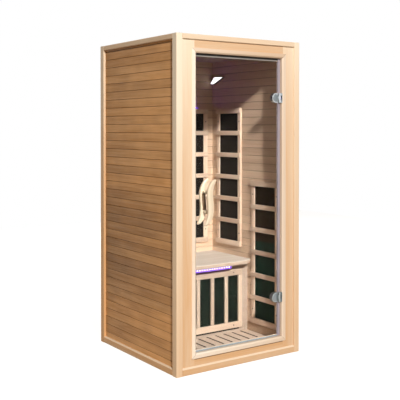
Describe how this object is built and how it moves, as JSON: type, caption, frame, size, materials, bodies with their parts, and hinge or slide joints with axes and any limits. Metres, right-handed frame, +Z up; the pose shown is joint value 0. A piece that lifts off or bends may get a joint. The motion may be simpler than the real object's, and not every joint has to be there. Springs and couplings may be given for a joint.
{
  "type": "infrared sauna cabin",
  "caption": "Compact infrared sauna cabin: boarded wooden shell with a hinged glass door, bench, slatted floor and heating panels behind wooden ladder guards.",
  "frame": {"origin": "on the ground, at the middle of the cabin's footprint", "axes": "+Z up, +Y from the door to the back wall, +X to the right seen from the door"},
  "size_m": [0.9, 0.9209, 1.9],
  "materials": {
    "trim_wood": "pale planed wood, fine grain",
    "cladding_wood": "planed boards, warmer and darker than the trim",
    "lining_wood": "planed boards",
    "bench_wood": "planed and sanded",
    "handle_wood": "sanded smooth",
    "clear_glass": "clear toughened glass",
    "chrome": "polished",
    "heater_panel": "matt black sheet",
    "led_strip": "glowing violet",
    "lamp_diffuser": "glowing white",
    "black_plastic": "fine matt",
    "button_plastic": "fine matt"
  },
  "bodies": {
    "cabin": {"base_panel": "lining_wood", "roof_panel": "lining_wood", "left_wall_cladding": "cladding_wood", "right_wall_cladding": "cladding_wood", "back_wall_cladding": "cladding_wood", "left_wall_lining": "lining_wood", "right_wall_lining": "lining_wood", "back_wall_lining": "lining_wood", "front_left_post": "trim_wood", "front_right_post": "trim_wood", "rear_left_post": "trim_wood", "rear_right_post": "trim_wood", "left_bottom_rail": "trim_wood", "right_bottom_rail": "trim_wood", "left_top_rail": "trim_wood", "right_top_rail": "trim_wood", "front_bottom_rail": "trim_wood", "front_top_rail": "trim_wood", "front_left_stile": "trim_wood", "front_right_stile": "trim_wood", "front_header": "trim_wood", "front_sill": "trim_wood", "door_casing": "trim_wood", "upper_hinge_bracket": "chrome", "lower_hinge_bracket": "chrome", "upper_hinge_pin": "chrome", "lower_hinge_pin": "chrome", "bench_seat": "bench_wood", "bench_front_board": "bench_wood", "duckboard": "bench_wood", "calf_guard": "trim_wood", "calf_heater": "heater_panel", "back_left_guard": "trim_wood", "back_left_heater": "heater_panel", "back_right_guard": "trim_wood", "back_right_heater": "heater_panel", "left_rear_guard": "trim_wood", "left_rear_heater": "heater_panel", "left_front_guard": "trim_wood", "left_front_heater": "heater_panel", "right_rear_guard": "trim_wood", "right_rear_heater": "heater_panel", "right_front_guard": "trim_wood", "right_front_heater": "heater_panel", "bench_led_strip": "led_strip", "back_led_strip": "led_strip", "reading_lamp": "lamp_diffuser", "control_panel": "black_plastic", "power_box": "black_plastic"},
    "door": {"door_glass": "clear_glass", "upper_hinge_clamp": "chrome", "lower_hinge_clamp": "chrome", "outer_handle": "handle_wood", "inner_handle": "handle_wood", "upper_handle_bolt": "chrome", "lower_handle_bolt": "chrome"},
    "power_key": {"power_button": "button_plastic"},
    "light_key": {"light_button": "button_plastic"},
    "up_key": {"up_button": "button_plastic"},
    "down_key": {"down_button": "button_plastic"}
  },
  "joints": [
    {"name": "door_hinge", "type": "hinge", "parent": "cabin", "child": "door", "pos_m": [0.302, -0.437, 0.9545], "axis": [0, 0, 1], "range_deg": [0, 105]},
    {"name": "power_press", "type": "slide", "parent": "cabin", "child": "power_key", "axis": [-1, 0, 0], "range_m": [0, 0.0012], "stiffness_N_per_m": 400},
    {"name": "light_press", "type": "slide", "parent": "cabin", "child": "light_key", "axis": [-1, 0, 0], "range_m": [0, 0.0012], "stiffness_N_per_m": 400},
    {"name": "up_press", "type": "slide", "parent": "cabin", "child": "up_key", "axis": [-1, 0, 0], "range_m": [0, 0.0012], "stiffness_N_per_m": 400},
    {"name": "down_press", "type": "slide", "parent": "cabin", "child": "down_key", "axis": [-1, 0, 0], "range_m": [0, 0.0012], "stiffness_N_per_m": 400}
  ]
}
